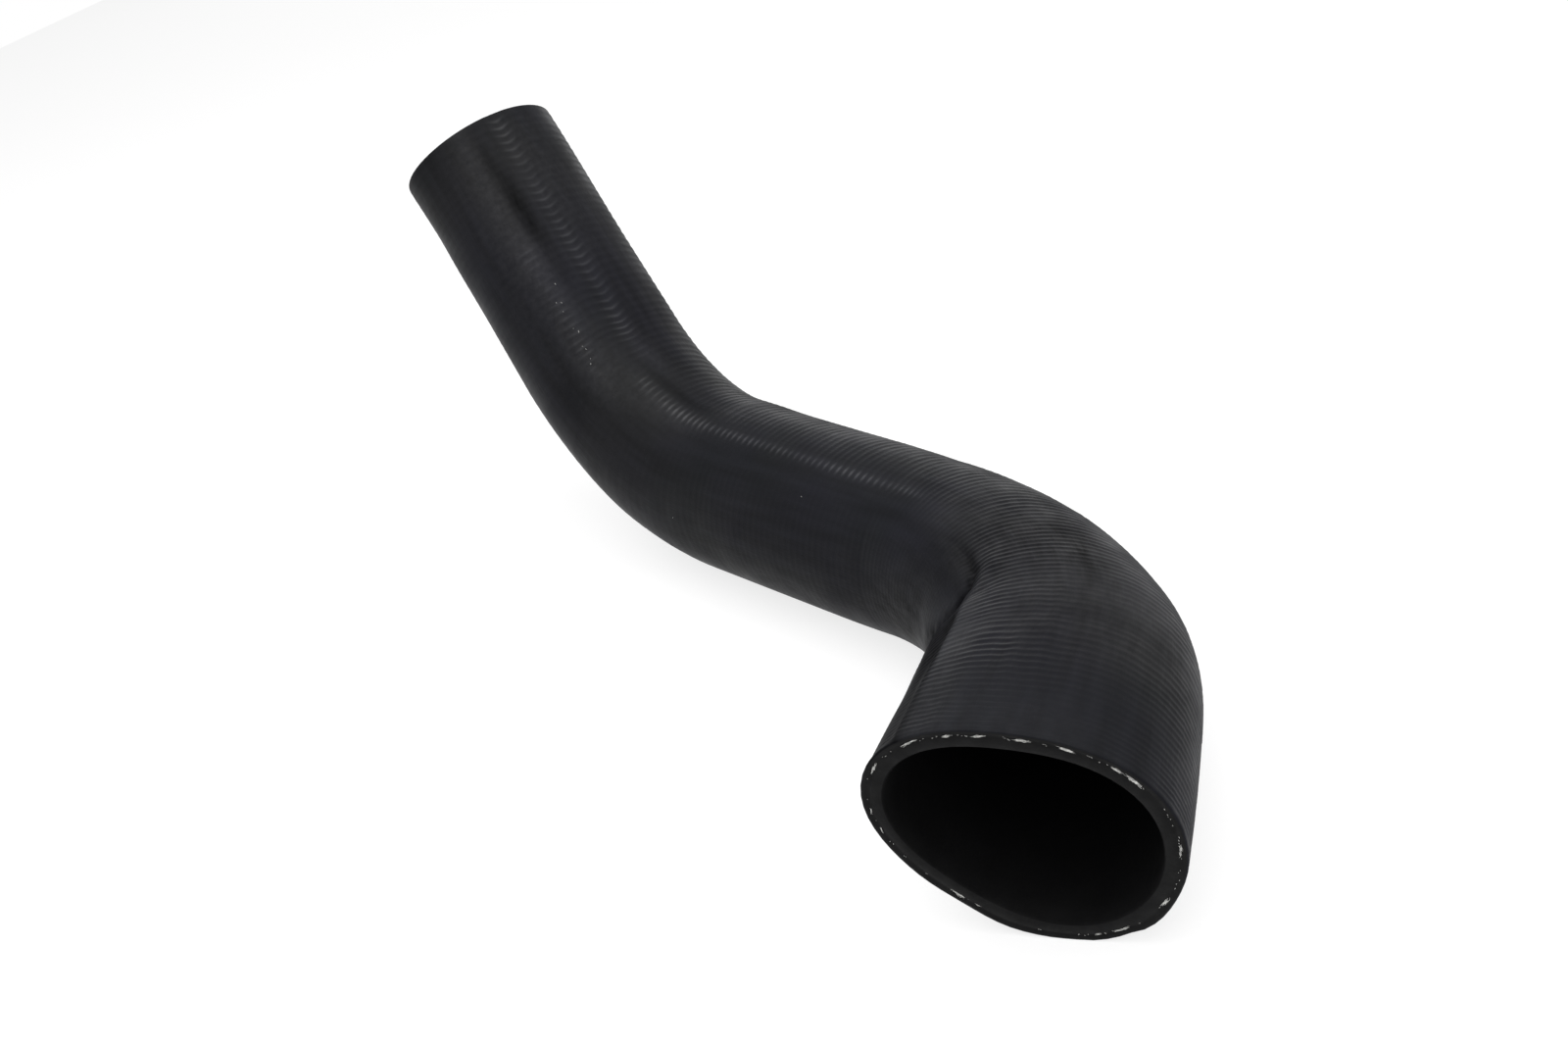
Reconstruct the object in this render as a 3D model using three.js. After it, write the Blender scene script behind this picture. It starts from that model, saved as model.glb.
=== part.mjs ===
// Moulded charge air hose: a black rubber duct that necks down from an oval mouth, turns through an
// elbow with a pinch across its inner side, and bends back to a narrower tail. Millimetres, +Z up.
// The origin is under the middle of the hose, on the surface that it lies on.

import * as THREE from 'three';

const degrees = Math.PI / 180;

// Driving dimensions

const wall = 5.5;
const edgeBreak = 0.5;

// Outside radii, from the mouth to the tail
const mouthRadius = 35.5;
const elbowRadius = 33;
const neckRadius = 28.5;
const bodyRadius = 29;
const swellRadius = 29.5;
const tailRadius = 27.8;

// Centreline, from the mouth to the tail. A heading is the side that a bend turns to, measured
// round the hose from the inner side of the elbow.
const mouthStraight = 10;
const throatBendRadius = 100;
const throatBendAngle = 15 * degrees;
const throatBendHeading = -70 * degrees;
const throatStraight = 5;
const elbowBendRadius = 120;
const elbowBendAngle = 56 * degrees;
const bodyStraight = 90;
const offsetBendRadius = 95;
const offsetBendAngle = 52 * degrees;
const offsetBendHeading = 88 * degrees;
const tailStraight = 88;

// The section is squashed to an oval at the mouth, in the elbow and at the tail, and slightly
// egg-shaped at the mouth. Each squash is the most that the outside moves in or out.
const mouthSquash = 2.5;
const mouthEgg = 1.4;
const mouthFade = 110;
const elbowSquash = 2.7;
const elbowSquashMargin = 25;
const squashHeading = 21 * degrees;
const tailSquash = 1.1;
const tailFade = 60;
const tailSquashHeading = -34 * degrees;

// Pinch across the inner side of the elbow, steep on the mouth's side and long on the tail's side
const pinchDepth = 4.5;
const pinchFromElbowStart = 23;
const pinchSteepLength = 5;
const pinchLongLength = 14;
const pinchHalfSpan = 75 * degrees;

// How the hose lies: the rise of the mouth's axis, and the turn of the elbow about that axis
const mouthRise = 6.7 * degrees;
const layTurn = 185.1 * degrees;

// Fineness of the mesh
const sides = 40;
const ringStep = 11;
const pinchRingStep = 3;

// Centreline

function straight(length) {
  return { length, radius: Infinity, heading: 0 };
}

function bend(radius, angle, heading) {
  return { length: radius * angle, radius, heading };
}

const throatBend = bend(throatBendRadius, throatBendAngle, throatBendHeading);
const elbowBend = bend(elbowBendRadius, elbowBendAngle, 0);
const offsetBend = bend(offsetBendRadius, offsetBendAngle, offsetBendHeading);

const elbowStart = mouthStraight + throatBend.length + throatStraight;
const elbowEnd = elbowStart + elbowBend.length;
const offsetStart = elbowEnd + bodyStraight;
const offsetEnd = offsetStart + offsetBend.length;
const hoseLength = offsetEnd + tailStraight;

function mouthFrame() {
  const tangent = new THREE.Vector3(0, Math.cos(mouthRise), Math.sin(mouthRise));
  const normal = new THREE.Vector3(1, 0, 0).applyAxisAngle(tangent, layTurn);
  return { place: new THREE.Vector3(), tangent, normal };
}

function moveAlong(frame, leg, distance) {
  const place = frame.place.clone();
  const tangent = frame.tangent.clone();
  const normal = frame.normal.clone();
  if (leg.radius === Infinity) {
    place.addScaledVector(tangent, distance);
    return { place, tangent, normal };
  }
  const inward = normal.clone().applyAxisAngle(tangent, leg.heading);
  const axis = tangent.clone().cross(inward);
  const turned = distance / leg.radius;
  const arm = inward.clone().multiplyScalar(-leg.radius).applyAxisAngle(axis, turned);
  place.addScaledVector(inward, leg.radius).add(arm);
  tangent.applyAxisAngle(axis, turned);
  normal.applyAxisAngle(axis, turned);
  return { place, tangent, normal };
}

const legs = [
  straight(mouthStraight),
  throatBend,
  straight(throatStraight),
  elbowBend,
  straight(bodyStraight),
  offsetBend,
  straight(tailStraight),
];

function frameAt(along) {
  let frame = mouthFrame();
  let left = along;
  for (const leg of legs) {
    const distance = Math.min(left, leg.length);
    frame = moveAlong(frame, leg, distance);
    left -= distance;
  }
  return frame;
}

// Section

const radiusStops = [
  [0, mouthRadius],
  [elbowStart, elbowRadius],
  [elbowEnd, neckRadius],
  [offsetStart, bodyRadius],
  [offsetEnd, swellRadius],
  [hoseLength, tailRadius],
];

function meanRadius(along) {
  let next = 1;
  while (next < radiusStops.length - 1 && along > radiusStops[next][0]) {
    next += 1;
  }
  const [startAlong, startRadius] = radiusStops[next - 1];
  const [endAlong, endRadius] = radiusStops[next];
  return THREE.MathUtils.mapLinear(along, startAlong, endAlong, startRadius, endRadius);
}

function squash(along, around) {
  const atMouth = 1 - THREE.MathUtils.smoothstep(along, 0, mouthFade);
  const fromElbowMiddle = Math.abs(along - (elbowStart + elbowEnd) / 2);
  const elbowReach = elbowBend.length / 2 + elbowSquashMargin;
  const inElbow = 1 - THREE.MathUtils.smoothstep(fromElbowMiddle, 0, elbowReach);
  const atTail = THREE.MathUtils.smoothstep(along, hoseLength - tailFade, hoseLength);
  const depth = mouthSquash * atMouth + elbowSquash * inElbow;
  const oval = depth * Math.cos(2 * (around - squashHeading));
  const egg = mouthEgg * atMouth * Math.cos(3 * (around - squashHeading));
  const tailOval = tailSquash * atTail * Math.cos(2 * (around - tailSquashHeading));
  return oval + egg + tailOval;
}

function pinch(along, around) {
  const offset = along - (elbowStart + pinchFromElbowStart);
  const reach = offset < 0 ? pinchSteepLength : pinchLongLength;
  const halfTurnOn = THREE.MathUtils.euclideanModulo(around + Math.PI, 2 * Math.PI);
  const fromInnerSide = Math.abs(halfTurnOn - Math.PI);
  const spread = Math.min(fromInnerSide / pinchHalfSpan, 1);
  return pinchDepth * Math.exp(-((offset / reach) ** 2)) * Math.cos((spread * Math.PI) / 2) ** 2;
}

function outsideRadius(along, around) {
  return meanRadius(along) + squash(along, around) - pinch(along, around);
}

// Rings along the hose, close together at the pinch and at the two cut edges

function ringPlaces() {
  const pinchAlong = elbowStart + pinchFromElbowStart;
  const fineStart = pinchAlong - 2 * pinchSteepLength;
  const fineEnd = pinchAlong + 2 * pinchLongLength;
  const last = hoseLength - edgeBreak;
  const places = [0];
  let along = edgeBreak;
  while (along < last - ringStep / 2) {
    places.push(along);
    along += along > fineStart && along < fineEnd ? pinchRingStep : ringStep;
  }
  places.push(last, hoseLength);
  return places;
}

function ringPoints(along, inset) {
  const { place, tangent, normal } = frameAt(along);
  const points = [];
  for (let side = 0; side < sides; side += 1) {
    const around = (side / sides) * 2 * Math.PI;
    const outward = normal.clone().applyAxisAngle(tangent, around);
    points.push(place.clone().addScaledVector(outward, outsideRadius(along, around) - inset));
  }
  return points;
}

// The skin runs down the outside to the tail and back up the bore, and closes on itself

function hoseRings() {
  const places = ringPlaces();
  const breakAt = (along) => (along === 0 || along === hoseLength ? edgeBreak : 0);
  const outside = places.map((along) => ringPoints(along, breakAt(along)));
  const bore = places.map((along) => ringPoints(along, wall - breakAt(along)));
  return [...outside, ...bore.reverse()];
}

function hoseGeometry() {
  const rings = hoseRings();
  const positions = rings.flat().flatMap((point) => point.toArray());
  const indices = [];
  for (let ring = 0; ring < rings.length; ring += 1) {
    const nextRing = (ring + 1) % rings.length;
    for (let side = 0; side < sides; side += 1) {
      const nextSide = (side + 1) % sides;
      const a = ring * sides + side;
      const b = ring * sides + nextSide;
      const c = nextRing * sides + nextSide;
      const d = nextRing * sides + side;
      indices.push(a, b, c, a, c, d);
    }
  }
  const geometry = new THREE.BufferGeometry();
  geometry.setAttribute('position', new THREE.Float32BufferAttribute(positions, 3));
  geometry.setIndex(indices);
  geometry.computeVertexNormals();
  return geometry;
}

// Puts the origin under the middle of the hose, level with its lowest point

function settle(geometry) {
  geometry.computeBoundingBox();
  const { min, max } = geometry.boundingBox;
  geometry.translate(-(min.x + max.x) / 2, -(min.y + max.y) / 2, -min.z);
  return geometry;
}

const rubber = new THREE.MeshStandardMaterial({ color: 0x26262a, roughness: 0.62, metalness: 0 });

const hose = new THREE.Mesh(settle(hoseGeometry()), rubber);
hose.name = 'hose_body';

const group = new THREE.Group();
group.add(hose);

export default group;
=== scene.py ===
import math
import random
from collections import namedtuple

import bpy
import numpy as np
from mathutils import Matrix, Vector, noise


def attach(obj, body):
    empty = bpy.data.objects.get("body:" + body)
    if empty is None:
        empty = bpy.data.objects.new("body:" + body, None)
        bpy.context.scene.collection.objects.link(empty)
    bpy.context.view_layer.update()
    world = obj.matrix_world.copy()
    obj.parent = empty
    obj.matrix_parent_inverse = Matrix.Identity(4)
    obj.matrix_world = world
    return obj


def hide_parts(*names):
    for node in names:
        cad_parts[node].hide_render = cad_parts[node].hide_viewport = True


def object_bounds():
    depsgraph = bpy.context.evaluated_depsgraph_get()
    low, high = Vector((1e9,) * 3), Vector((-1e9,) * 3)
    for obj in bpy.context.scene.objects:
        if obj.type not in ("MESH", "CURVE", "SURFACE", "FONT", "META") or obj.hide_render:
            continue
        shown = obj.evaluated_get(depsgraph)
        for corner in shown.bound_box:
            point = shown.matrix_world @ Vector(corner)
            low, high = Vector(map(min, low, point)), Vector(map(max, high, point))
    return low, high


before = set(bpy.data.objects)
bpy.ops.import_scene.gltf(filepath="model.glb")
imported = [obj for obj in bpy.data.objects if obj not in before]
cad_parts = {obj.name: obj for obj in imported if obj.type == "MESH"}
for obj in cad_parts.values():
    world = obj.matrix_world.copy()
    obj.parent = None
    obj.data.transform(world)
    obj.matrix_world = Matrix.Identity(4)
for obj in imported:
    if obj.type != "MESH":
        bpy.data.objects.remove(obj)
cad_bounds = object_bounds()

# The hose's own dimensions, in millimetres, as in the part's source

MM = 0.001
WALL = 5.5
EDGE_BREAK = 0.5
ORIGIN_TO_MOUTH = (120.18559, -134.35158, 35.23612)
MOUTH_RISE = math.radians(6.7)
LAY_TURN = math.radians(185.1)
MOUTH_STRAIGHT = 10
THROAT_BEND = 100
THROAT_TURN = math.radians(15)
THROAT_HEADING = math.radians(-70)
THROAT_STRAIGHT = 5
ELBOW_BEND = 120
ELBOW_TURN = math.radians(56)
BODY_STRAIGHT = 90
OFFSET_BEND = 95
OFFSET_TURN = math.radians(52)
OFFSET_HEADING = math.radians(88)
TAIL_STRAIGHT = 88

# Places along the hose, counted from the mouth
THROAT_END = MOUTH_STRAIGHT + THROAT_BEND * THROAT_TURN
ELBOW_START = THROAT_END + THROAT_STRAIGHT
ELBOW_END = ELBOW_START + ELBOW_BEND * ELBOW_TURN
OFFSET_START = ELBOW_END + BODY_STRAIGHT
OFFSET_END = OFFSET_START + OFFSET_BEND * OFFSET_TURN
LENGTH = OFFSET_END + TAIL_STRAIGHT

# Each leg of the centreline: length, bend radius, side that it bends to
LEGS = (
    (MOUTH_STRAIGHT, None, 0),
    (THROAT_END - MOUTH_STRAIGHT, THROAT_BEND, THROAT_HEADING),
    (ELBOW_START - THROAT_END, None, 0),
    (ELBOW_END - ELBOW_START, ELBOW_BEND, 0),
    (OFFSET_START - ELBOW_END, None, 0),
    (OFFSET_END - OFFSET_START, OFFSET_BEND, OFFSET_HEADING),
    (LENGTH - OFFSET_END, None, 0),
)
RADIUS_STOPS = (0, ELBOW_START, ELBOW_END, OFFSET_START, OFFSET_END, LENGTH)
RADII = (35.5, 33, 28.5, 29, 29.5, 27.8)
MOUTH_SQUASH = 2.5
MOUTH_EGG = 1.4
MOUTH_FADE = 110
ELBOW_SQUASH = 2.7
ELBOW_SQUASH_MARGIN = 25
SQUASH_HEADING = math.radians(21)
TAIL_SQUASH = 1.1
TAIL_FADE = 60
TAIL_SQUASH_HEADING = math.radians(-34)
PINCH_PLACE = ELBOW_START + 23
PINCH_DEPTH = 4.5
PINCH_STEEP = 5
PINCH_LONG = 14
PINCH_HALF_SPAN = math.radians(75)

# Fine rings that the curing tape left round the hose: pitch along the centreline
PITCH_STOPS = (0, 16, 26, 34, 44, 66, 90, 126, 140, 156, 238, 250, 322, 336, LENGTH)
PITCHES = (1.6, 1.7, 1.9, 2.6, 2.9, 2.7, 2.8, 2.9, 2.6, 2.85, 2.85, 3.8, 4.0, 3.1, 3.1)
USUAL_PITCH = 2.9
RIB_DEPTH = 0.24
SAMPLES_PER_RIB = 6

# How strong the rings are: places along the hose, then the sides in degrees, with a row for each place
RIB_PLACES = (0, 24, 40, 60, 85, 110, 140, 200, 290, 345, LENGTH)
RIB_SIDES = (-20, 20, 46, 60, 75, 90, 105, 120, 140, 165, 200)
RIB_STRENGTHS = (
    (0.3, 0.3, 0.8, 1.4, 1.0, 1.0, 0.7, 0.25, 0.55, 1.1, 1.1),
    (0.3, 0.3, 0.7, 1.2, 0.9, 0.7, 0.3, 0.2, 0.4, 1.0, 1.0),
    (0.2, 0.2, 0.4, 0.8, 0.4, 0.3, 0.12, 0.12, 0.25, 0.6, 0.8),
    (0.1, 0.1, 0.2, 1.0, 0.4, 0.3, 0.12, 0.12, 0.35, 0.7, 0.8),
    (0.1, 0.1, 0.1, 0.8, 0.4, 0.6, 0.6, 0.9, 1.4, 1.2, 1.0),
    (0.1, 0.1, 0.1, 0.2, 0.3, 0.75, 0.95, 1.6, 1.9, 1.5, 1.0),
    (0.1, 0.1, 0.1, 0.2, 0.3, 0.5, 0.95, 1.5, 1.9, 1.5, 1.0),
    (0.1, 0.1, 0.15, 0.25, 0.3, 0.35, 0.65, 1.1, 1.2, 1.0, 1.0),
    (0.1, 0.1, 0.2, 0.35, 0.4, 0.4, 0.5, 0.7, 0.9, 0.8, 0.8),
    (0.15, 0.2, 0.4, 0.5, 0.5, 0.7, 0.3, 0.25, 0.6, 0.6, 0.6),
    (0.2, 0.2, 0.3, 0.6, 0.4, 0.5, 0.25, 0.25, 0.7, 0.6, 0.6),
)

# Sides of the mesh, with the part where they are closer together
SIDES = 97
FINE_FROM = math.radians(35)
FINE_TO = math.radians(100)
FINE_FADE = 0.2
FINE_DENSITY = 3.2


# Centreline

def turned(vector, axis, angle):
    return (vector * math.cos(angle) + np.cross(axis, vector) * math.sin(angle)
            + axis * np.dot(axis, vector) * (1 - math.cos(angle)))


def frame_at(along):
    """Place, direction and the side towards the elbow's inside, at a distance along the hose."""
    tangent = np.array([0.0, math.cos(MOUTH_RISE), math.sin(MOUTH_RISE)])
    normal = turned(np.array([1.0, 0.0, 0.0]), tangent, LAY_TURN)
    place = np.array(ORIGIN_TO_MOUTH)
    left = along
    for length, radius, heading in LEGS:
        step = min(left, length)
        left -= step
        if radius is None:
            place = place + tangent * step
            continue
        inward = turned(normal, tangent, heading)
        axis = np.cross(tangent, inward)
        angle = step / radius
        place = place + inward * radius + turned(-inward * radius, axis, angle)
        tangent = turned(tangent, axis, angle)
        normal = turned(normal, axis, angle)
    return place, tangent, normal


# Section

def smooth(value, low, high):
    part = np.clip((value - low) / (high - low), 0, 1)
    return part * part * (3 - 2 * part)


def bump(value, centre, width):
    return np.exp(-((value - centre) / width) ** 2)


def outside_radius(along, around):
    at_mouth = 1 - smooth(along, 0, MOUTH_FADE)
    from_middle = abs(along - (ELBOW_START + ELBOW_END) / 2)
    in_elbow = 1 - smooth(from_middle, 0, (ELBOW_END - ELBOW_START) / 2 + ELBOW_SQUASH_MARGIN)
    oval = (MOUTH_SQUASH * at_mouth + ELBOW_SQUASH * in_elbow) * np.cos(2 * (around - SQUASH_HEADING))
    egg = MOUTH_EGG * at_mouth * np.cos(3 * (around - SQUASH_HEADING))
    at_tail = smooth(along, LENGTH - TAIL_FADE, LENGTH)
    tail_oval = TAIL_SQUASH * at_tail * np.cos(2 * (around - TAIL_SQUASH_HEADING))
    past_pinch = along - PINCH_PLACE
    reach = PINCH_STEEP if past_pinch < 0 else PINCH_LONG
    from_inner = np.abs((around + math.pi) % (2 * math.pi) - math.pi)
    spread = np.minimum(from_inner / PINCH_HALF_SPAN, 1)
    pinch = PINCH_DEPTH * math.exp(-(past_pinch / reach) ** 2) * np.cos(spread * math.pi / 2) ** 2
    return np.interp(along, RADIUS_STOPS, RADII) + oval + egg + tail_oval - pinch


def hose_noise(along, around, stretch, cells, seed):
    """Noise from -1 to 1, joined up round the hose: stretch is in millimetres, cells is how fine it is."""
    return np.array([
        noise.noise(Vector((math.cos(a) * cells, math.sin(a) * cells, along / stretch + seed * 31.7)))
        for a in around
    ])


# Rings counted from the mouth, at small steps along the hose
FINE_STEP = 0.1
FINE_PLACES = np.arange(0, LENGTH + FINE_STEP, FINE_STEP)
FINE_PITCHES = np.interp(FINE_PLACES[:-1] + FINE_STEP / 2, PITCH_STOPS, PITCHES)
RIB_TURNS = np.concatenate(([0], np.cumsum(FINE_STEP / FINE_PITCHES)))


# Degrees round the hose start here, so that no mark on the hose's seen side is cut in two
FIRST_DEGREE = -130


def to_degrees(around):
    return (np.degrees(around) - FIRST_DEGREE) % 360 + FIRST_DEGREE


def rib_strength(along, around):
    column = [np.interp(along, RIB_PLACES, side) for side in zip(*RIB_STRENGTHS)]
    return np.interp(to_degrees(around), RIB_SIDES, column)


# The rings sag towards the mouth where they cross the tape's seam near the tail: turns and degrees
SEAM_SAG = 0.4
SEAM_SIDE = 80
SEAM_WIDTH = 5.5


def rib_turns(along, around):
    """Rings counted from the mouth, on the side where the hose's angle is 0, with their sway."""
    near_mouth = 1 - smooth(along, 40, 90)
    sway = 0.10 * hose_noise(along, around, stretch=9.0, cells=2.5, seed=1)
    sway = sway + 0.22 * near_mouth * hose_noise(along, around, stretch=18.0, cells=9.0, seed=4)
    sag = SEAM_SAG * smooth(along, 310, 330) * bump(to_degrees(around), SEAM_SIDE, SEAM_WIDTH)
    return np.interp(along, FINE_PLACES, RIB_TURNS) + sway + sag


def rib_crest(along, around):
    """From 0 in the hollows to 1 on the ridges that the tape's edges left."""
    phase = rib_turns(along, around) + around / (2 * math.pi)
    return (0.5 + 0.5 * np.cos(2 * math.pi * phase)) ** 1.6


def ribs(along, around):
    pitch = np.interp(along, PITCH_STOPS, PITCHES)
    uneven = 1.0 + 0.55 * hose_noise(along, around, stretch=14.0, cells=3.0, seed=2)
    uneven = uneven + 0.6 * hose_noise(along, around, stretch=5.0, cells=11.0, seed=6)
    strength = rib_strength(along, around) * uneven * min(pitch / USUAL_PITCH, 1)
    return RIB_DEPTH * strength * (rib_crest(along, around) - 0.6)


# Lengthwise lines. Sides and widths are in degrees, and the glint is how bright a line's painted highlight
# dashes are
Line = namedtuple("Line", "start end start_side end_side width rise fade glint")
LINES = (
    Line(146, 280, 63.5, 65, 2.6, 0.13, 7, 0.7),
    Line(250, 302, 66, 67, 4.2, 0.12, 8, 0.42),
    Line(316, 420, 79, 81, 5.5, 0.16, 12, 0.36),
    Line(318, 372, 48, 49, 5.5, 0.14, 14, 0.3),
    Line(340, 421, 62, 64, 6.0, -0.45, 22, 0.0),
)
LINE_END_FADE = 3


def line_share(along, degrees, line):
    """1 on a lengthwise line and 0 away from it."""
    side = np.interp(along, (line.start, line.end), (line.start_side, line.end_side))
    begun = smooth(along, line.start - line.fade, line.start + line.fade)
    ended = smooth(along, line.end - LINE_END_FADE, line.end + LINE_END_FADE)
    return begun * (1 - ended) * bump(degrees, side, line.width)


def lines(along, around):
    degrees = to_degrees(around)
    return sum(line.rise * line_share(along, degrees, line) for line in LINES)


def flutes(along, around):
    """Shallow waves along the hose, deeper near the mouth."""
    near_mouth = 1 - smooth(along, 20, 95)
    return (0.20 * near_mouth + 0.05) * hose_noise(along, around, stretch=60.0, cells=7.0, seed=3)


# Lines on the outside as (place along the hose, degrees round it)
NECK_EDGE = ((-4, 46), (20, 46.5), (42, 47.5), (64, 48.5))
CREASE = ((92, 2), (76, 22), (70, 38), (72.5, 48), (79, 52), (100, 52), (126, 49))
CREASE_RIDGE = ((52, 44), (63, 48), (70, 56), (77, 61), (92, 66))

# The crease and the ridge beside it, in millimetres
CREASE_DEPTH = 1.1
CREASE_REACH = 1.9
RIDGE_HEIGHT = 0.6
RIDGE_REACH = 3.0

# The neck's corner and the flat beside it, in millimetres. The corner's fall and side are in degrees
CORNER_HEIGHT = 0.65
FLAT_DEPTH = 0.40
INNER_FALL = 4.0
OUTER_FALL = 11.0
CORNER_SIDE = 47.5


def near_path(along, around, path):
    """Distance in millimetres to a line on the outside, and the share of the line at that point."""
    radius = np.interp(along, RADIUS_STOPS, RADII)
    turned_to = radius * np.radians(to_degrees(around))
    best = np.full_like(around, math.inf)
    share = np.zeros_like(around)
    for index, (start, end) in enumerate(zip(path, path[1:])):
        back = start[0] - along
        below = radius * math.radians(start[1]) - turned_to
        run = end[0] - start[0]
        climb = radius * math.radians(end[1] - start[1])
        part = np.clip(-(back * run + below * climb) / (run * run + climb * climb), 0, 1)
        distance = np.hypot(back + part * run, below + part * climb)
        nearer = distance < best
        best = np.where(nearer, distance, best)
        share = np.where(nearer, (index + part) / (len(path) - 1), share)
    return best, share


def neck_edge(along, around):
    """A corner along the neck, with a flat on its inner side."""
    side = np.interp(along, [place for place, _ in NECK_EDGE], [degrees for _, degrees in NECK_EDGE])
    past = to_degrees(around) - side
    rise = np.where(past < 0, np.exp(past / INNER_FALL), np.exp(-past / OUTER_FALL))
    flat = smooth(past, -60, -20) * (1 - smooth(past, -6, 0))
    shown = 1 - smooth(along, 54, 70)
    return shown * (CORNER_HEIGHT * rise - FLAT_DEPTH * flat * (1 - smooth(along, 22, 36)))


def crease(along, around):
    """The fold across the elbow's inner side, with the ridge beside it."""
    if not 40 < along < 140:
        return np.zeros_like(around)
    distance, share = near_path(along, around, CREASE)
    shown = smooth(share, 0.0, 0.2) * (1 - smooth(share, 0.6, 1.0))
    valley = CREASE_DEPTH * shown * np.exp(-distance / CREASE_REACH)
    distance, share = near_path(along, around, CREASE_RIDGE)
    shown = smooth(share, 0.0, 0.35) * (1 - smooth(share, 0.7, 1.0))
    return RIDGE_HEIGHT * shown * bump(distance, 0, RIDGE_REACH) - valley


# Slight swellings and dents: place, half length, degrees, half width in degrees, height
DENTS = (
    (0, 16, -38, 16, 0.6),
    (0, 16, -74, 17, 1.2),
    (0, 16, -112, 14, 0.4),
    (0, 16, 226, 14, 0.8),
    (48, 13, 30, 16, 0.8),
    (92, 16, 153, 24, -0.5),
    (249, 17, 116, 30, 0.7),
    (288, 16, -36, 26, 0.4),
    (380, 50, -30, 24, 0.3),
    (402, 11, -28, 20, -0.4),
    (LENGTH, 7, -6, 26, 0.7),
    (385, 45, 144, 22, 0.3),
)


def dents(along, around):
    degrees = to_degrees(around)
    height = np.zeros_like(around)
    for place, length, side, width, rise in DENTS:
        height += rise * math.exp(-((along - place) / length) ** 2) * bump(degrees, side, width)
    return height


# The relief fades out over this length at each rim
PLAIN_RIM = 2.5


def detailed_radius(along, around):
    off_rims = smooth(along, 0, PLAIN_RIM) * (1 - smooth(along, LENGTH - PLAIN_RIM, LENGTH))
    relief = ribs(along, around) + lines(along, around) + flutes(along, around)
    relief = relief + neck_edge(along, around) + crease(along, around)
    return outside_radius(along, around) + dents(along, around) + relief * off_rims


# Painted sheen and painted shade in the rubber's colour, with some pale dust and dark smears. Each patch is
# a place, half length, degrees, half width and amount
# Painted sheen, with some pale dust on the rubber
SHEEN_AND_DUST_PATCHES = (
    (282, 26, 61, 9, 0.6),
    (376, 62, 48, 14, 1.15),
    (350, 60, 24, 16, 0.35),
    (306, 16, 84, 9, 0.6),
    (400, 44, 100, 20, 0.6),
    (380, 60, 86, 12, 0.3),
    (62, 14, 56, 8, 0.8),
    (20, 24, 55, 9, 0.6),
    (312, 16, 48, 12, 0.6),
    (250, 130, 64, 7, 0.25),
    (6, 14, 70, 24, 0.3),
    (6, 14, 110, 24, 0.3),
    (92, 34, 138, 13, 1.6),
    (156, 26, 108, 8, 0.5),
    (412, 18, -16, 10, 0.6),
)
# Painted shade, with some dark smears on the rubber
SHADE_AND_SMEAR_PATCHES = (
    (386, 17, 62, 7, 0.74),
    (362, 12, 64, 6, 0.25),
    (408, 12, 60, 5, 0.25),
    (318, 14, 20, 11, 0.3),
    (193, 32, 4, 5, 0.2),
    (100, 26, 42, 12, 0.35),
    (274, 22, 77, 4, 0.4),
    (104, 22, 14, 14, 0.5),
    (128, 34, -8, 24, 0.75),
    (200, 80, -22, 18, 0.35),
    (322, 80, 124, 14, 0.5),
    (42, 21, 84, 36, 0.38),
    (42, 21, 140, 34, 0.5),
    (94, 30, 76, 26, 0.6),
    (82, 24, 110, 16, 0.75),
    (240, 48, 113, 11, 0.45),
)


def patches(along, around, rows):
    degrees = to_degrees(around)
    total = np.zeros_like(around)
    for place, length, side, width, amount in rows:
        total += amount * math.exp(-((along - place) / length) ** 2) * bump(degrees, side, width)
    return total


def glint_marks(along, around):
    """Painted highlights: bright dashes where the lengthwise lines cross the rings."""
    degrees = to_degrees(around)
    on_line = sum(line.glint * line_share(along, degrees, line) for line in LINES)
    patchy = 0.8 + 0.9 * hose_noise(along, around, stretch=11.0, cells=2.0, seed=5)
    return np.clip(on_line * patchy, 0, 1.5)


def shade_and_smear_marks(along, around):
    """Painted shade on the unlit flat beside the neck's corner, at the bottom of the crease and in patches,
    with some dark smears.
    """
    past = to_degrees(around) - CORNER_SIDE
    band = smooth(past, -26, -16) * (1 - smooth(past, -2, 1.5)) * (1 - smooth(along, 52, 68))
    total = 0.7 * band + patches(along, around, SHADE_AND_SMEAR_PATCHES)
    # Painted shade along the bottom of the crease
    if 60 < along < 130:
        distance, share = near_path(along, around, CREASE)
        total = total + 0.6 * bump(distance, 0, 2.2) * (1 - smooth(share, 0.6, 1.0))
    return np.clip(total, 0, 0.9)


# Hose mesh

def side_angles():
    """Angles of the mesh's sides, closer together where the lengthwise lines are."""
    angles = np.linspace(0, 2 * math.pi, 20 * 360 + 1)
    fine = smooth(angles, FINE_FROM - FINE_FADE, FINE_FROM)
    fine = fine * (1 - smooth(angles, FINE_TO, FINE_TO + FINE_FADE))
    share = np.concatenate(([0], np.cumsum(1 + (FINE_DENSITY - 1) * fine[:-1])))
    return np.interp(np.arange(SIDES) / SIDES * share[-1], share, angles)


def rib_places():
    count = int(RIB_TURNS[-1] * SAMPLES_PER_RIB)
    turns = np.linspace(0, RIB_TURNS[-1], count + 1)[1:-1]
    places = np.interp(turns, RIB_TURNS, FINE_PLACES)
    return [p for p in places if EDGE_BREAK * 1.3 < p < LENGTH - EDGE_BREAK * 1.3]


def ring(along, radii, around):
    place, tangent, normal = frame_at(along)
    binormal = np.cross(tangent, normal)
    outward = np.cos(around)[:, None] * normal + np.sin(around)[:, None] * binormal
    return (place + outward * radii[:, None]) * MM


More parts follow.
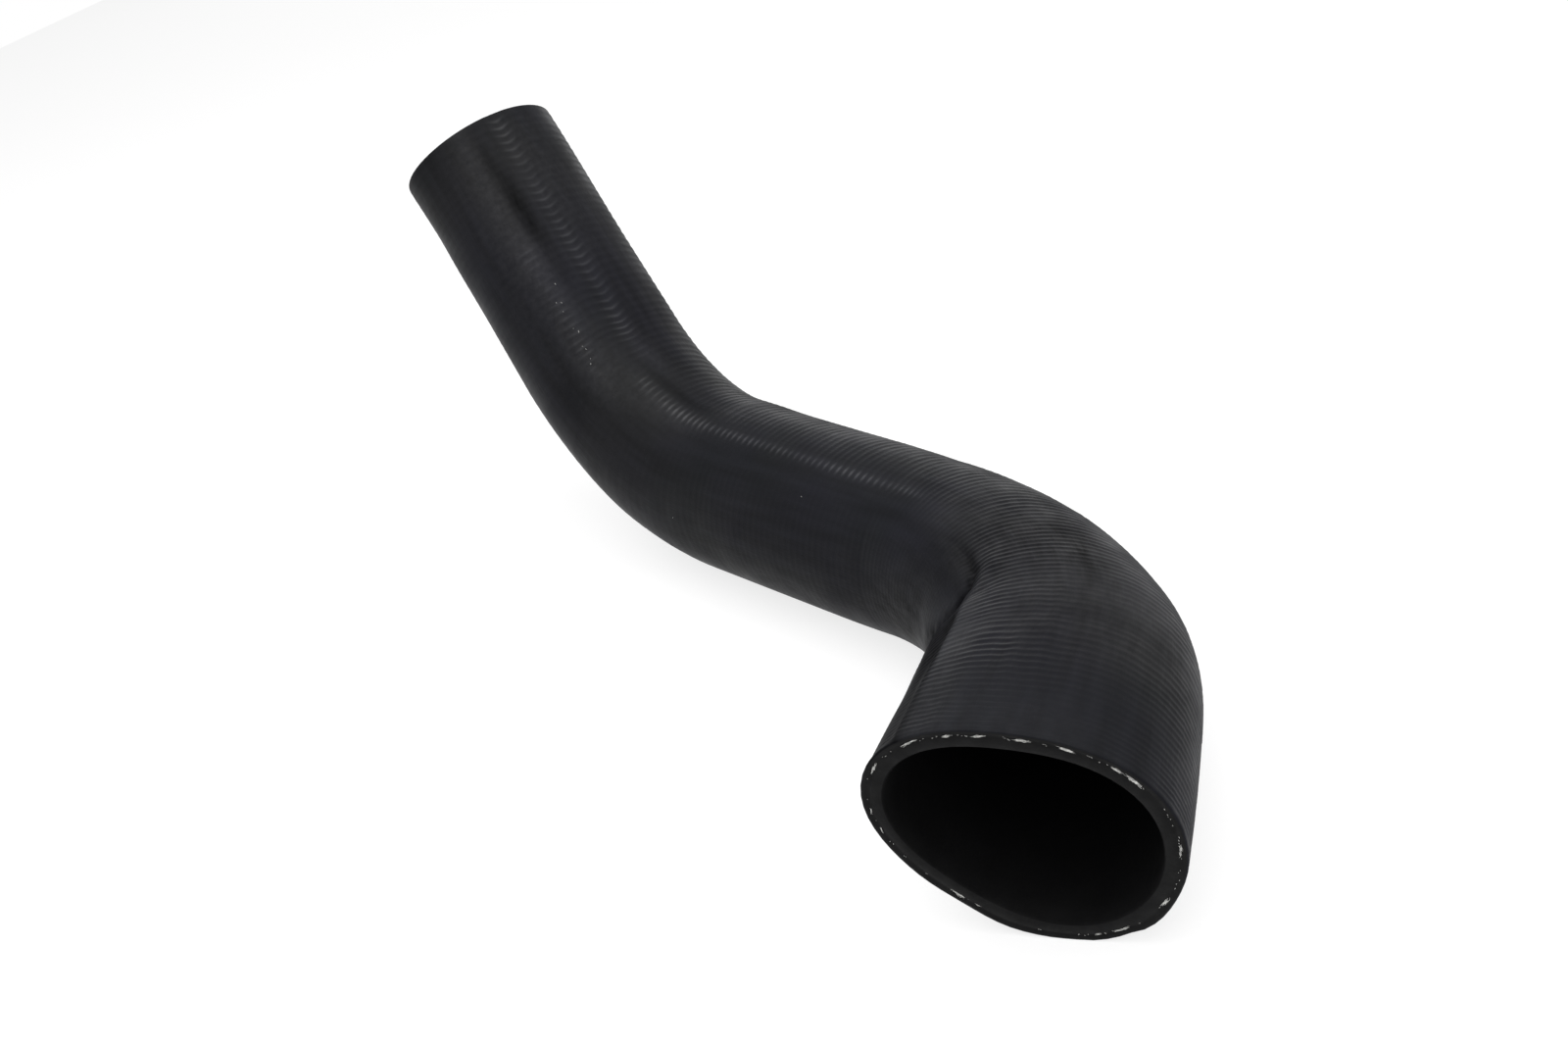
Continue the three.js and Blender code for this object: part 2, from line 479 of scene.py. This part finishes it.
# Rings of a cut face, as (share of the wall, recess): the yarn layer lies in a shallow groove
FACE_RINGS = ((0.20, 0.0), (0.28, 0.26), (0.40, 0.26), (0.48, 0.0), (0.70, 0.0))
BORE_EDGE = 0.35
BORE_RINGS = 84

# Kinds of ring, in the order of the hose's materials
KINDS = ("outside", "face", "bore")


def edge_rings(at_mouth):
    """The broken edge from the outside onto the cut face, as (place, inset)."""
    steps = ((EDGE_BREAK, 0.0), (0.22, 0.07), (0.07, 0.22), (0.0, EDGE_BREAK))
    return [(step if at_mouth else LENGTH - step, inset) for step, inset in steps]


def hose_rings(around):
    """Rings down the outside, over the tail's cut face, up the bore and over the mouth's cut face."""
    rings = []
    kinds = []
    # Marks for the shader: ring turns, painted highlight, painted sheen with dust, painted shade with
    # smears
    marks = {"turns": [], "glint": [], "painted_sheen_and_dust": [], "painted_shade_and_smears": []}

    def add(along, radii, kind, recess=0.0):
        deeper = recess if along == 0 else -recess
        rings.append(ring(along + deeper, radii, around))
        kinds.append((kind, along))
        outside = 1.0 if kind == "outside" else 0.0
        marks["turns"].append(rib_turns(along, around))
        marks["glint"].append(outside * glint_marks(along, around))
        marks["painted_sheen_and_dust"].append(outside * patches(along, around, SHEEN_AND_DUST_PATCHES))
        marks["painted_shade_and_smears"].append(outside * shade_and_smear_marks(along, around))

    for along, inset in reversed(edge_rings(True)):
        add(along, detailed_radius(along, around) - inset, "outside")
    for along in rib_places():
        add(along, detailed_radius(along, around), "outside")
    for along, inset in edge_rings(False):
        add(along, detailed_radius(along, around) - inset, "outside")
    for share, recess in FACE_RINGS:
        add(LENGTH, detailed_radius(LENGTH, around) - WALL * share, "face", recess)
    add(LENGTH, outside_radius(LENGTH, around) - WALL + BORE_EDGE, "face")
    for along in np.linspace(LENGTH - EDGE_BREAK, EDGE_BREAK, BORE_RINGS):
        add(along, outside_radius(along, around) - WALL, "bore")
    add(0, outside_radius(0, around) - WALL + BORE_EDGE, "bore")
    for share, recess in reversed(FACE_RINGS):
        add(0, detailed_radius(0, around) - WALL * share, "face", recess)
    return rings, kinds, marks


def hose_faces(kinds, around):
    """Faces from each ring to the next, with their materials and UVs. The last ring joins the first."""
    faces = []
    material_of = []
    corner_uv = []
    for i, (kind, along) in enumerate(kinds):
        j = (i + 1) % len(kinds)
        next_kind, next_along = kinds[j]
        material = KINDS.index(kind if kind == next_kind else "face")
        start = along / LENGTH
        end = next_along / LENGTH
        for k in range(SIDES):
            m = (k + 1) % SIDES
            faces.append((i * SIDES + k, j * SIDES + k, j * SIDES + m, i * SIDES + m))
            material_of.append(material)
            left = around[k] / (2 * math.pi)
            right = around[m] / (2 * math.pi) if m else 1.0
            corner_uv.extend((start, left, end, left, end, right, start, right))
    return faces, material_of, corner_uv


def build_hose():
    around = side_angles()
    rings, kinds, marks = hose_rings(around)
    lowest, highest = (np.array(corner) for corner in cad_bounds)
    vertices = np.clip(np.concatenate(rings), lowest, highest)
    faces, material_of, corner_uv = hose_faces(kinds, around)
    mesh = bpy.data.meshes.new("hose_skin")
    mesh.from_pydata([tuple(v) for v in vertices], [], faces)
    mesh.update()
    if mesh_volume(mesh) < 0:
        mesh.flip_normals()
    uv = mesh.uv_layers.new(name="hose")
    fill_uv(mesh, uv, faces, corner_uv)
    mesh.polygons.foreach_set("material_index", material_of)
    mesh.polygons.foreach_set("use_smooth", [True] * len(faces))
    for name, rows in marks.items():
        layer = mesh.attributes.new(name, "FLOAT", "POINT")
        layer.data.foreach_set("value", np.concatenate(rows))
    return mesh


def mesh_volume(mesh):
    """The mesh's volume, below 0 where its faces look inward."""
    total = 0.0
    for polygon in mesh.polygons:
        points = [mesh.vertices[i].co for i in polygon.vertices]
        for a, b in zip(points[1:], points[2:]):
            total += points[0].dot(a.cross(b)) / 6
    return total


def fill_uv(mesh, uv, faces, corner_uv):
    """Sets the UVs by vertex, because flipping a face changes the order of its corners."""
    for index, polygon in enumerate(mesh.polygons):
        by_vertex = {}
        for corner, vertex in enumerate(faces[index]):
            at = (index * 4 + corner) * 2
            by_vertex[vertex] = (corner_uv[at], corner_uv[at + 1])
        for loop in polygon.loop_indices:
            uv.data[loop].uv = by_vertex[mesh.loops[loop].vertex_index]


# Materials. The owner of a node is a material or the world

def new_material(name):
    material = bpy.data.materials.new(name)
    material.use_nodes = True
    nodes = material.node_tree.nodes
    nodes.clear()
    output = nodes.new("ShaderNodeOutputMaterial")
    shader = nodes.new("ShaderNodeBsdfPrincipled")
    material.node_tree.links.new(shader.outputs["BSDF"], output.inputs["Surface"])
    return material, shader


def node(owner, kind, **settings):
    made = owner.node_tree.nodes.new(kind)
    for key, value in settings.items():
        setattr(made, key, value)
    return made


def link(owner, source, target):
    owner.node_tree.links.new(source, target)


def noise_node(material, vector, scale, detail, roughness=0.5):
    made = node(material, "ShaderNodeTexNoise")
    made.inputs["Scale"].default_value = scale
    made.inputs["Detail"].default_value = detail
    made.inputs["Roughness"].default_value = roughness
    link(material, vector, made.inputs["Vector"])
    return made.outputs["Fac"]


def ramp(material, value, low, high):
    """Colour from a value, between two stops given as (value, colour)."""
    made = node(material, "ShaderNodeValToRGB")
    for element, (position, colour) in zip(made.color_ramp.elements, (low, high)):
        element.position = position
        element.color = (*colour, 1)
    link(material, value, made.inputs["Fac"])
    return made.outputs["Color"]


def grey(value):
    return (value, value, value)


def mix_colour(material, factor, first, second, blend="MIX"):
    made = node(material, "ShaderNodeMix", data_type="RGBA", blend_type=blend)
    if isinstance(factor, float):
        made.inputs["Factor"].default_value = factor
    else:
        link(material, factor, made.inputs["Factor"])
    for value, name in ((first, "A"), (second, "B")):
        socket = [s for s in made.inputs if s.name == name and s.type == "RGBA"][0]
        if isinstance(value, tuple):
            socket.default_value = (*value, 1)
        else:
            link(material, value, socket)
    return [s for s in made.outputs if s.type == "RGBA"][0]


def stretched(material, coordinates, scale):
    made = node(material, "ShaderNodeMapping")
    made.inputs["Scale"].default_value = scale
    link(material, coordinates, made.inputs["Vector"])
    return made.outputs["Vector"]


def add_bump(material, shader, height, distance, strength, after=None):
    made = node(material, "ShaderNodeBump")
    made.inputs["Distance"].default_value = distance
    made.inputs["Strength"].default_value = strength
    link(material, height, made.inputs["Height"])
    if after is not None:
        link(material, after, made.inputs["Normal"])
    link(material, made.outputs["Normal"], shader.inputs["Normal"])
    return made.outputs["Normal"]


def mark(material, name):
    return node(material, "ShaderNodeAttribute", attribute_name=name).outputs["Fac"]


def scaled(material, value, factor, added=0.0):
    made = node(material, "ShaderNodeMath", operation="MULTIPLY_ADD")
    link(material, value, made.inputs[0])
    made.inputs[1].default_value = factor
    made.inputs[2].default_value = added
    return made.outputs["Value"]


def calculated(owner, operation, first, second=None):
    made = node(owner, "ShaderNodeMath", operation=operation)
    link(owner, first, made.inputs[0])
    if isinstance(second, float):
        made.inputs[1].default_value = second
    elif second is not None:
        link(owner, second, made.inputs[1])
    return made.outputs["Value"]


def ring_dashes(material, on_hose):
    """Narrow bands, 1 on each ring's ridge and 0 between the rings."""
    split = node(material, "ShaderNodeSeparateXYZ")
    link(material, on_hose, split.inputs["Vector"])
    turns = calculated(material, "ADD", mark(material, "turns"), split.outputs["Y"])
    wave = calculated(material, "COSINE", scaled(material, turns, 2 * math.pi))
    return calculated(material, "POWER", scaled(material, wave, 0.5, 0.5), 3.0)


def clean_rubber(material, shader, place, on_hose):
    """Black with a slight change of hue, streaks along the hose and fine dust."""
    broad = noise_node(material, place, 26.0, 3.0)
    colour = ramp(material, broad, (0.3, (0.0052, 0.0057, 0.0074)), (0.7, (0.0082, 0.0081, 0.0108)))
    streaks = noise_node(material, stretched(material, on_hose, (9.0, 42.0, 1.0)), 1.0, 2.0)
    streaked = ramp(material, streaks, (0.35, grey(0.74)), (0.7, grey(1.28)))
    colour = mix_colour(material, 1.0, colour, streaked, "MULTIPLY")
    hue = noise_node(material, place, 14.0, 3.0)
    hue = ramp(material, hue, (0.35, (0.97, 0.97, 0.90)), (0.62, (0.91, 0.92, 1.0)))
    link(material, hue, shader.inputs["Specular Tint"])
    colour = mix_colour(material, 1.0, colour, hue, "MULTIPLY")
    dust = noise_node(material, place, 2600.0, 2.0, 0.6)
    dusty = ramp(material, dust, (0.66, grey(0.0)), (0.80, grey(0.012)))
    return mix_colour(material, 1.0, colour, dusty, "ADD")


# Painted sheen, partly pale dust: a pale grey added where the patches lie, made uneven by noise
def with_sheen_and_dust(material, place, colour):
    sheen_patchiness = noise_node(material, place, 420.0, 4.0, 0.65)
    sheen_patchiness = ramp(material, sheen_patchiness, (0.3, grey(0.5)), (0.7, grey(1.5)))
    painted_sheen_and_dust = mix_colour(material, 1.0, sheen_patchiness, (0.0215, 0.0210, 0.0220), "MULTIPLY")
    return mix_colour(material, scaled(material, mark(material, "painted_sheen_and_dust"), 0.5), colour, painted_sheen_and_dust, "ADD")


# Painted highlight dashes, brightest on each ring's ridge
def dash_glint(material, on_hose):
    glint = scaled(material, ring_dashes(material, on_hose), 1.5, 0.08)
    return calculated(material, "MULTIPLY", mark(material, "glint"), glint)


# Painted shade and dark smears, made uneven by noise stretched along the hose
def shade_and_smear_amount(material, on_hose):
    patchiness = noise_node(material, stretched(material, on_hose, (34.0, 62.0, 1.0)), 1.0, 4.0, 0.7)
    patchiness = ramp(material, patchiness, (0.35, grey(0.7)), (0.62, grey(1.15)))
    return calculated(material, "MULTIPLY", mark(material, "painted_shade_and_smears"), patchiness)


def add_rubber_grain(material, shader, place, on_hose):
    grain = noise_node(material, place, 1500.0, 3.0, 0.6)
    first = add_bump(material, shader, grain, 0.00006, 0.6)
    cloth = noise_node(material, stretched(material, on_hose, (70.0, 260.0, 1.0)), 1.0, 2.0)
    add_bump(material, shader, cloth, 0.00012, 0.5, first)


def outside_rubber():
    material, shader = new_material("wrapped_rubber")
    place = node(material, "ShaderNodeTexCoord").outputs["Object"]
    on_hose = node(material, "ShaderNodeUVMap", uv_map="hose").outputs["UV"]
    glint = dash_glint(material, on_hose)
    painted_shade_and_smears = shade_and_smear_amount(material, on_hose)
    colour = clean_rubber(material, shader, place, on_hose)
    colour = with_sheen_and_dust(material, place, colour)
    # Painted highlight: pale grey added along the glint dashes
    colour = mix_colour(material, glint, colour, (0.022, 0.022, 0.024), "ADD")
    # Painted shade, with some dark smears: near-black mixed over the colour
    colour = mix_colour(material, painted_shade_and_smears, colour, (0.0016, 0.0016, 0.0018))
    link(material, colour, shader.inputs["Base Color"])
    # Specular level raised along the painted highlights and lowered under the painted shade
    shiny = scaled(material, glint, 0.14, 0.075)
    dimmed_specular = calculated(material, "MULTIPLY", shiny, scaled(material, painted_shade_and_smears, -0.85, 1.0))
    link(material, dimmed_specular, shader.inputs["Specular IOR Level"])
    mottled = noise_node(material, place, 60.0, 4.0, 0.6)
    rough = ramp(material, mottled, (0.3, grey(0.42)), (0.7, grey(0.58)))
    link(material, rough, shader.inputs["Roughness"])
    add_rubber_grain(material, shader, place, on_hose)
    return material


def cut_rubber():
    material, shader = new_material("cut_rubber")
    place = node(material, "ShaderNodeTexCoord").outputs["Object"]
    shader.inputs["Specular IOR Level"].default_value = 0.08
    broad = noise_node(material, place, 180.0, 4.0, 0.65)
    colour = ramp(material, broad, (0.3, (0.0056, 0.0056, 0.0059)), (0.7, (0.0100, 0.0100, 0.0102)))
    link(material, colour, shader.inputs["Base Color"])
    rough = ramp(material, noise_node(material, place, 300.0, 3.0), (0.3, grey(0.6)), (0.7, grey(0.75)))
    link(material, rough, shader.inputs["Roughness"])
    saw = noise_node(material, place, 1100.0, 4.0, 0.7)
    add_bump(material, shader, saw, 0.00012, 0.8)
    return material


def bore_rubber():
    material, shader = new_material("bore_rubber")
    place = node(material, "ShaderNodeTexCoord").outputs["Object"]
    shader.inputs["Specular IOR Level"].default_value = 0.07
    broad = noise_node(material, place, 70.0, 4.0, 0.6)
    colour = ramp(material, broad, (0.3, (0.0022, 0.0022, 0.0024)), (0.7, (0.0042, 0.0042, 0.0044)))
    link(material, colour, shader.inputs["Base Color"])
    rough = ramp(material, noise_node(material, place, 240.0, 3.0), (0.3, grey(0.7)), (0.7, grey(0.85)))
    link(material, rough, shader.inputs["Roughness"])
    add_bump(material, shader, noise_node(material, place, 900.0, 3.0), 0.0001, 0.5)
    return material


def yarn_white():
    material, shader = new_material("cut_yarn")
    place = node(material, "ShaderNodeTexCoord").outputs["Object"]
    shader.inputs["Specular IOR Level"].default_value = 0.3
    shader.inputs["Sheen Weight"].default_value = 0.3
    tone = noise_node(material, place, 900.0, 3.0, 0.6)
    colour = ramp(material, tone, (0.35, (0.30, 0.30, 0.29)), (0.6, (0.80, 0.80, 0.77)))
    link(material, colour, shader.inputs["Base Color"])
    rough = ramp(material, tone, (0.3, grey(0.6)), (0.7, grey(0.8)))
    link(material, rough, shader.inputs["Roughness"])
    return material


# Frayed yarn ends in the cut faces, and lint

# The yarn layer, as a share of the wall from the outside, and the radius that its wisps lie on
YARN_DEPTH = 0.33
YARN_RADIUS = 33.0

# Single cut ends, spread round each face
MOUTH_SMALL_ENDS = 90
TAIL_SMALL_ENDS = 40

# Wisps that show in the cut faces: degrees round the hose, length in millimetres, fullness
MOUTH_TUFTS = (
    (27, 3.0, 0.8), (49, 4.5, 0.6), (65, 1.5, 0.8), (78, 2.5, 1.0), (96, 3.5, 1.0), (114, 4.0, 1.1),
    (134, 2.0, 0.9), (142, 4.5, 1.1), (180, 3.5, 0.5), (211, 3.5, 0.6), (237, 4.5, 0.8), (248, 0.8, 0.9),
    (299, 1.5, 0.6), (310, 4.5, 1.3), (354, 2.0, 0.3), (4, 0.7, 0.6),
)
TAIL_TUFTS = (
    (20, 2.5, 0.7), (63, 3.5, 0.9), (104, 1.5, 0.8), (151, 4.0, 0.8), (190, 2.0, 0.6), (232, 3.0, 1.0),
    (281, 1.0, 0.8), (322, 4.0, 0.7),
)

# Specks of lint on the outside: place along the hose, degrees, length in millimetres, with their height
LINT = (
    (322, 47, 0.5), (324, 49, 0.3), (329, 50, 0.6), (331, 49, 0.3), (337, 52, 0.8), (339, 50, 0.3),
    (346, 50, 0.4), (349, 52, 0.5), (350, 49, 0.3), (356, 55, 0.6), (190, 40, 0.5), (252, -2, 0.3),
)
LINT_RISE = 0.06


class FibreMesh:
    """Collects short bent fibres, each a closed thin tube."""

    def __init__(self):
        self.vertices = []
        self.faces = []

    def add(self, points, radius):
        sides = 5
        start = len(self.vertices)
        steps = len(points)
        for i, point in enumerate(points):
            ahead = points[min(i + 1, steps - 1)] - points[max(i - 1, 0)]
            ahead.normalize()
            side = ahead.orthogonal().normalized()
            other = ahead.cross(side)
            taper = 0.55 if i in (0, steps - 1) else 1.0
            for k in range(sides):
                angle = 2 * math.pi * k / sides
                offset = side * math.cos(angle) + other * math.sin(angle)
                self.vertices.append(point + offset * radius * taper)
        for i in range(steps - 1):
            for k in range(sides):
                m = (k + 1) % sides
                a = start + i * sides
                b = a + sides
                self.faces.append((a + k, a + m, b + m, b + k))
        self.faces.append(tuple(start + k for k in reversed(range(sides))))
        last = start + (steps - 1) * sides
        self.faces.append(tuple(last + k for k in range(sides)))

    def finish(self, name):
        mesh = bpy.data.meshes.new(name)
        mesh.from_pydata([tuple(v) for v in self.vertices], [], self.faces)
        mesh.update()
        return mesh


def face_point(along, around, depth_share):
    """A point on a cut face, with its directions round the rim, out of the face and outward."""
    place, tangent, normal = frame_at(along)
    binormal = np.cross(tangent, normal)
    outward = math.cos(around) * normal + math.sin(around) * binormal
    rim = np.cross(tangent, outward)
    radius = outside_radius(along, np.array([around]))[0] - WALL * depth_share
    point = place + outward * radius
    away = -tangent if along == 0 else tangent
    return Vector(point) * MM, Vector(rim), Vector(away), Vector(outward)


def add_fibre(fibres, draw, along, around, depth_share, reach, thickness):
    """A bent fibre that lies in the groove of a cut face, reach and thickness in millimetres."""
    centre, rim, away, outward = face_point(along, around, depth_share)
    heading = (rim + outward * draw.uniform(-0.28, 0.28)).normalized()
    sag = outward * draw.uniform(-0.25, 0.25)
    lift = draw.uniform(0.0, 0.12) - 0.24
    points = []
    for i in range(5):
        share = i / 4 - 0.5
        arch = 1 - 4 * share * share
        offset = heading * share * reach + sag * arch * reach * 0.5 + away * (thickness + lift)
        points.append(centre + offset * MM)
    fibres.add(points, thickness * MM)


def add_tuft(fibres, draw, along, degrees, length, fullness):
    """A wisp of cut yarn round the rim, its length in millimetres."""
    half = math.degrees(length / 2 / YARN_RADIUS)
    tilt = draw.uniform(-0.05, 0.05)
    for _ in range(int(5 + length * 8 * fullness)):
        part = draw.triangular(-1, 1, draw.uniform(-0.6, 0.6))
        around = math.radians(degrees + part * half * 0.95)
        thin = 1.0 - 0.75 * abs(part)
        depth = YARN_DEPTH + tilt * part + draw.gauss(0, 0.036) * fullness * thin
        add_fibre(fibres, draw, along, around, depth, draw.uniform(0.7, 2.0), draw.uniform(0.03, 0.052))


def add_yarn_ends(fibres, draw, along, tufts, small_ends):
    for degrees, length, fullness in tufts:
        add_tuft(fibres, draw, along, degrees, length, fullness)
    for _ in range(small_ends):
        around = draw.uniform(0, 2 * math.pi)
        depth = YARN_DEPTH + draw.gauss(0, 0.03)
        add_fibre(fibres, draw, along, around, depth, draw.uniform(0.2, 0.5), draw.uniform(0.04, 0.06))


def add_lint(fibres, draw):
    """White specks on the outside, each a short bent fibre."""
    for along, degrees, reach in LINT:
        place, tangent, normal = frame_at(along)
        binormal = np.cross(tangent, normal)
        around = math.radians(degrees)
        outward = math.cos(around) * normal + math.sin(around) * binormal
        radius = detailed_radius(along, np.array([around]))[0] + LINT_RISE
        centre = Vector((place + outward * radius) * MM)
        rim = Vector(np.cross(tangent, outward))
        heading = (rim * draw.uniform(-1, 1) + Vector(tangent)).normalized()
        bend = rim * draw.uniform(-0.3, 0.3) * reach
        points = []
        for share in (-0.5, 0.0, 0.5):
            offset = heading * share * reach + bend * share * share
            points.append(centre + offset * MM)
        fibres.add(points, draw.uniform(0.05, 0.08) * MM)


# Camera at the photograph's viewing angle

PHOTO_WIDTH = 1600
FOCAL_PIXELS = 1849.27
SENSOR_WIDTH = 36.0
CAMERA_PLACE = Vector((0.25001, -0.43426, 0.29897))
CAMERA_FORWARD = Vector((-0.43097, 0.77468, -0.46276))
CAMERA_RIGHT = Vector((0.90179, 0.35148, -0.25145))


def add_camera():
    data = bpy.data.cameras.new("camera")
    data.sensor_width = SENSOR_WIDTH
    data.lens = FOCAL_PIXELS / PHOTO_WIDTH * SENSOR_WIDTH
    data.clip_start = 0.01
    data.clip_end = 50
    camera = bpy.data.objects.new("camera", data)
    bpy.context.collection.objects.link(camera)
    forward = CAMERA_FORWARD.normalized()
    right = (CAMERA_RIGHT - forward * CAMERA_RIGHT.dot(forward)).normalized()
    up = right.cross(forward)
    turn = Matrix((right, up, -forward)).transposed().to_4x4()
    camera.matrix_world = Matrix.Translation(CAMERA_PLACE) @ turn
    bpy.context.scene.camera = camera


# Stage and light

FLOOR_REACH = 1.6
FLOOR_DROP = 0.0002


def seen_rays(owner):
    """1 for rays from the camera, a sheen or a clear thing, which see plain white, and 0 for the others."""
    rays = node(owner, "ShaderNodeLightPath").outputs
    seen = calculated(owner, "MAXIMUM", rays["Is Camera Ray"], rays["Is Glossy Ray"])
    return calculated(owner, "MAXIMUM", seen, rays["Is Transmission Ray"])


def add_floor():
    mesh = bpy.data.meshes.new("floor")
    corners = [(x * FLOOR_REACH, y * FLOOR_REACH, 0) for x, y in ((-1, -1), (1, -1), (1, 1), (-1, 1))]
    mesh.from_pydata(corners, [], [(0, 1, 2, 3)])
    floor = bpy.data.objects.new("floor", mesh)
    floor.location.z = -FLOOR_DROP
    bpy.context.collection.objects.link(floor)
    material, shader = new_material("white_floor")
    shader.inputs["Base Color"].default_value = (*grey(0.8), 1)
    shader.inputs["Roughness"].default_value = 0.9
    shader.inputs["Specular IOR Level"].default_value = 0.0
    nodes = material.node_tree.nodes
    output = [n for n in nodes if n.type == "OUTPUT_MATERIAL"][0]
    faint = node(material, "ShaderNodeBsdfDiffuse")
    faint.inputs["Color"].default_value = (*grey(0.30), 1)
    glow = node(material, "ShaderNodeEmission")
    glow.inputs["Color"].default_value = (*grey(0.78), 1)
    white = node(material, "ShaderNodeAddShader")
    link(material, faint.outputs["BSDF"], white.inputs[0])
    link(material, glow.outputs["Emission"], white.inputs[1])
    chosen = node(material, "ShaderNodeMixShader")
    link(material, seen_rays(material), chosen.inputs["Fac"])
    link(material, shader.outputs["BSDF"], chosen.inputs[1])
    link(material, white.outputs["Shader"], chosen.inputs[2])
    link(material, chosen.outputs["Shader"], output.inputs["Surface"])
    mesh.materials.append(material)


def add_world():
    world = bpy.data.worlds.new("world")
    bpy.context.scene.world = world
    world.use_nodes = True
    world.node_tree.nodes.clear()
    output = node(world, "ShaderNodeOutputWorld")
    soft = node(world, "ShaderNodeBackground")
    soft.inputs["Color"].default_value = (1, 1, 1, 1)
    soft.inputs["Strength"].default_value = 0.35
    white = node(world, "ShaderNodeBackground")
    white.inputs["Color"].default_value = (1, 1, 1, 1)
    white.inputs["Strength"].default_value = 1.0
    chosen = node(world, "ShaderNodeMixShader")
    link(world, seen_rays(world), chosen.inputs["Fac"])
    link(world, soft.outputs["Background"], chosen.inputs[1])
    link(world, white.outputs["Background"], chosen.inputs[2])
    link(world, chosen.outputs["Shader"], output.inputs["Surface"])


def add_softbox(name, place, target, width, height, watts):
    data = bpy.data.lights.new(name, "AREA")
    data.shape = "RECTANGLE"
    data.size = width
    data.size_y = height
    data.energy = watts
    lamp = bpy.data.objects.new(name, data)
    lamp.location = place
    aim = Vector(target) - Vector(place)
    lamp.rotation_euler = aim.to_track_quat("-Z", "Y").to_euler()
    bpy.context.collection.objects.link(lamp)


def add_lights():
    middle = (0.0, 0.0, 0.05)
    add_softbox("ceiling_softbox", (0.0, -0.1, 1.25), middle, 1.6, 1.3, 15.0)
    add_softbox("right_softbox", (1.2, -0.15, 1.1), middle, 0.9, 0.8, 3.8)
    add_softbox("front_softbox", (0.35, -1.2, 1.2), middle, 1.0, 0.8, 6.5)
    add_softbox("back_softbox", (-0.2, 1.8, 0.14), (0.0, 0.0, 0.1), 2.0, 0.26, 3.6)


# Put the scene together

hose = bpy.data.objects.new("hose_skin", build_hose())
for rubber in (outside_rubber(), cut_rubber(), bore_rubber()):
    hose.data.materials.append(rubber)
bpy.context.collection.objects.link(hose)
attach(hose, "root")
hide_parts("hose_body")

fibres = FibreMesh()
draw = random.Random(7)
add_yarn_ends(fibres, draw, 0, MOUTH_TUFTS, MOUTH_SMALL_ENDS)
add_yarn_ends(fibres, draw, LENGTH, TAIL_TUFTS, TAIL_SMALL_ENDS)
add_lint(fibres, draw)
yarn = bpy.data.objects.new("yarn_ends", fibres.finish("yarn_ends"))
yarn.data.materials.append(yarn_white())
bpy.context.collection.objects.link(yarn)
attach(yarn, "root")

add_camera()
add_floor()
add_world()
add_lights()
bpy.context.scene.view_settings.view_transform = "Standard"
